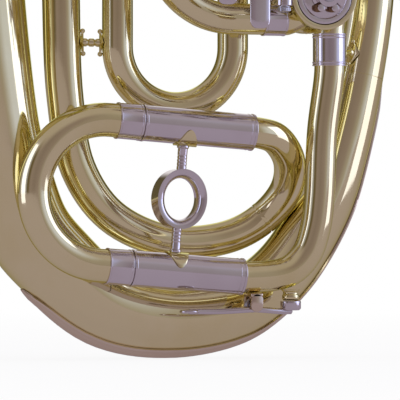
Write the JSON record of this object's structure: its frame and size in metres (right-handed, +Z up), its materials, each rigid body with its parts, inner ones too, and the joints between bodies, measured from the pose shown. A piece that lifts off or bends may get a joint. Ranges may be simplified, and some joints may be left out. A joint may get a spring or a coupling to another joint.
{
  "type": "tenor horn",
  "caption": "Upright oval horn with rotary valves in a column, finger levers, tuning slides, a wide upward bell and a wrapped leadpipe.",
  "frame": {"origin": "centre of the flat on the bow guard, the lowest point of the horn", "axes": "+Z up to the bell, the valve side faces -Y, +X is to the right as seen from the valves"},
  "size_m": [0.3449, 0.2588, 0.6398],
  "materials": {
    "lacquered_brass": "polished, clear lacquer",
    "nickel_trim": "polished nickel silver",
    "steel_linkage": "bright steel",
    "key_pad": "cork"
  },
  "bodies": {
    "horn": {"bell": "lacquered_brass", "bell_stay": "nickel_trim", "bottom_bow": "lacquered_brass", "bow_guard": "nickel_trim", "exit_ferrule": "nickel_trim", "exit_tube": "lacquered_brass", "inner_branch": "lacquered_brass", "leadpipe": "lacquered_brass", "leadpipe_stay": "nickel_trim", "lever_axle": "steel_linkage", "lever_rail": "nickel_trim", "lever_spring_1": "steel_linkage", "lever_spring_2": "steel_linkage", "lever_spring_3": "steel_linkage", "loop_stay": "nickel_trim", "main_sleeve_lower": "nickel_trim", "main_sleeve_upper": "nickel_trim", "mouthpiece_receiver": "nickel_trim", "return_crook": "lacquered_brass", "right_branch": "lacquered_brass", "ring_brace": "nickel_trim", "third_loop_front": "lacquered_brass", "third_loop_rear": "lacquered_brass", "thumb_ring": "nickel_trim", "top_bow": "lacquered_brass", "top_stay": "nickel_trim", "valve_1_bearing_plate": "nickel_trim", "valve_1_casing": "lacquered_brass", "valve_1_rear_cap": "lacquered_brass", "valve_1_sleeves": "nickel_trim", "valve_2_bearing_plate": "nickel_trim", "valve_2_casing": "lacquered_brass", "valve_2_rear_cap": "lacquered_brass", "valve_2_sleeves": "nickel_trim", "valve_3_bearing_plate": "nickel_trim", "valve_3_casing": "lacquered_brass", "valve_3_rear_cap": "lacquered_brass", "valve_3_sleeves": "nickel_trim", "water_key_nipple": "lacquered_brass", "water_key_saddle": "nickel_trim", "water_key_spring": "steel_linkage"},
    "main_slide": {"main_slide_bow": "lacquered_brass"},
    "lever_1_body": {"lever_1": "nickel_trim"},
    "link_rod_1_body": {"link_rod_1": "steel_linkage"},
    "rotor_1_body": {"valve_1_rotor": "steel_linkage", "valve_1_stop_arm": "nickel_trim"},
    "valve_1_slide": {"valve_1_slide_bow": "lacquered_brass"},
    "lever_2_body": {"lever_2": "nickel_trim"},
    "link_rod_2_body": {"link_rod_2": "steel_linkage"},
    "rotor_2_body": {"valve_2_rotor": "steel_linkage", "valve_2_stop_arm": "nickel_trim"},
    "valve_2_slide": {"valve_2_slide_bow": "lacquered_brass"},
    "lever_3_body": {"lever_3": "nickel_trim"},
    "link_rod_3_body": {"link_rod_3": "steel_linkage"},
    "rotor_3_body": {"valve_3_rotor": "steel_linkage", "valve_3_stop_arm": "nickel_trim"},
    "valve_3_slide": {"valve_3_slide_bow": "lacquered_brass"},
    "water_key": {"water_key_lever": "nickel_trim", "water_key_cork": "key_pad"},
    "mouthpiece_body": {"mouthpiece": "nickel_trim"}
  },
  "joints": [
    {"name": "main_slide_pull", "type": "slide", "parent": "horn", "child": "main_slide", "axis": [-0.9971, 0, 0.0767], "range_m": [0, 0.045]},
    {"name": "lever_1_press", "type": "hinge", "parent": "horn", "child": "lever_1_body", "pos_m": [0.042, -0.052, 0.27697], "axis": [0, 0, -1], "range_deg": [0, 24.5], "stiffness_Nm_per_rad": 0.15, "springref_deg": -22.92},
    {"name": "link_rod_1_turn", "type": "hinge", "parent": "lever_1_body", "child": "link_rod_1_body", "pos_m": [0.04624, -0.07154, 0.27697], "axis": [0, 0, 1], "range_deg": [0, 24.5]},
    {"name": "rotor_1_turn", "type": "hinge", "parent": "horn", "child": "rotor_1_body", "pos_m": [0.0645, -0.031, 0.27273], "axis": [0, -1, 0], "range_deg": [0, 90]},
    {"name": "valve_1_slide_pull", "type": "slide", "parent": "horn", "child": "valve_1_slide", "axis": [-1, 0, 0], "range_m": [0, 0.02]},
    {"name": "lever_2_press", "type": "hinge", "parent": "horn", "child": "lever_2_body", "pos_m": [0.042, -0.052, 0.22697], "axis": [0, 0, -1], "range_deg": [0, 24.5], "stiffness_Nm_per_rad": 0.15, "springref_deg": -22.92},
    {"name": "link_rod_2_turn", "type": "hinge", "parent": "lever_2_body", "child": "link_rod_2_body", "pos_m": [0.04624, -0.07154, 0.22697], "axis": [0, 0, 1], "range_deg": [0, 24.5]},
    {"name": "rotor_2_turn", "type": "hinge", "parent": "horn", "child": "rotor_2_body", "pos_m": [0.0645, -0.031, 0.22273], "axis": [0, -1, 0], "range_deg": [0, 90]},
    {"name": "valve_2_slide_pull", "type": "slide", "parent": "horn", "child": "valve_2_slide", "axis": [-1, 0, 0], "range_m": [0, 0.008]},
    {"name": "lever_3_press", "type": "hinge", "parent": "horn", "child": "lever_3_body", "pos_m": [0.042, -0.052, 0.17697], "axis": [0, 0, -1], "range_deg": [0, 24.5], "stiffness_Nm_per_rad": 0.15, "springref_deg": -22.92},
    {"name": "link_rod_3_turn", "type": "hinge", "parent": "lever_3_body", "child": "link_rod_3_body", "pos_m": [0.04624, -0.07154, 0.17697], "axis": [0, 0, 1], "range_deg": [0, 24.5]},
    {"name": "rotor_3_turn", "type": "hinge", "parent": "horn", "child": "rotor_3_body", "pos_m": [0.0645, -0.031, 0.17273], "axis": [0, -1, 0], "range_deg": [0, 90]},
    {"name": "valve_3_slide_pull", "type": "slide", "parent": "horn", "child": "valve_3_slide", "axis": [0, 0, 1], "range_m": [0, 0.012]},
    {"name": "water_key_press", "type": "hinge", "parent": "horn", "child": "water_key", "pos_m": [0.03372, -0.031, 0.02564], "axis": [0, 1, 0], "range_deg": [0, 10], "stiffness_Nm_per_rad": 0.03, "springref_deg": -28.65},
    {"name": "mouthpiece_pull", "type": "slide", "parent": "horn", "child": "mouthpiece_body", "axis": [0.5784, 0.7988, 0.1657], "range_m": [0, 0.024]}
  ],
  "couplings": [
    {"joint": "rotor_1_turn", "follows": "lever_1_press", "ratio": 3.6742},
    {"joint": "link_rod_1_turn", "follows": "lever_1_press", "ratio": 1},
    {"joint": "rotor_2_turn", "follows": "lever_2_press", "ratio": 3.6742},
    {"joint": "link_rod_2_turn", "follows": "lever_2_press", "ratio": 1},
    {"joint": "rotor_3_turn", "follows": "lever_3_press", "ratio": 3.6742},
    {"joint": "link_rod_3_turn", "follows": "lever_3_press", "ratio": 1}
  ]
}
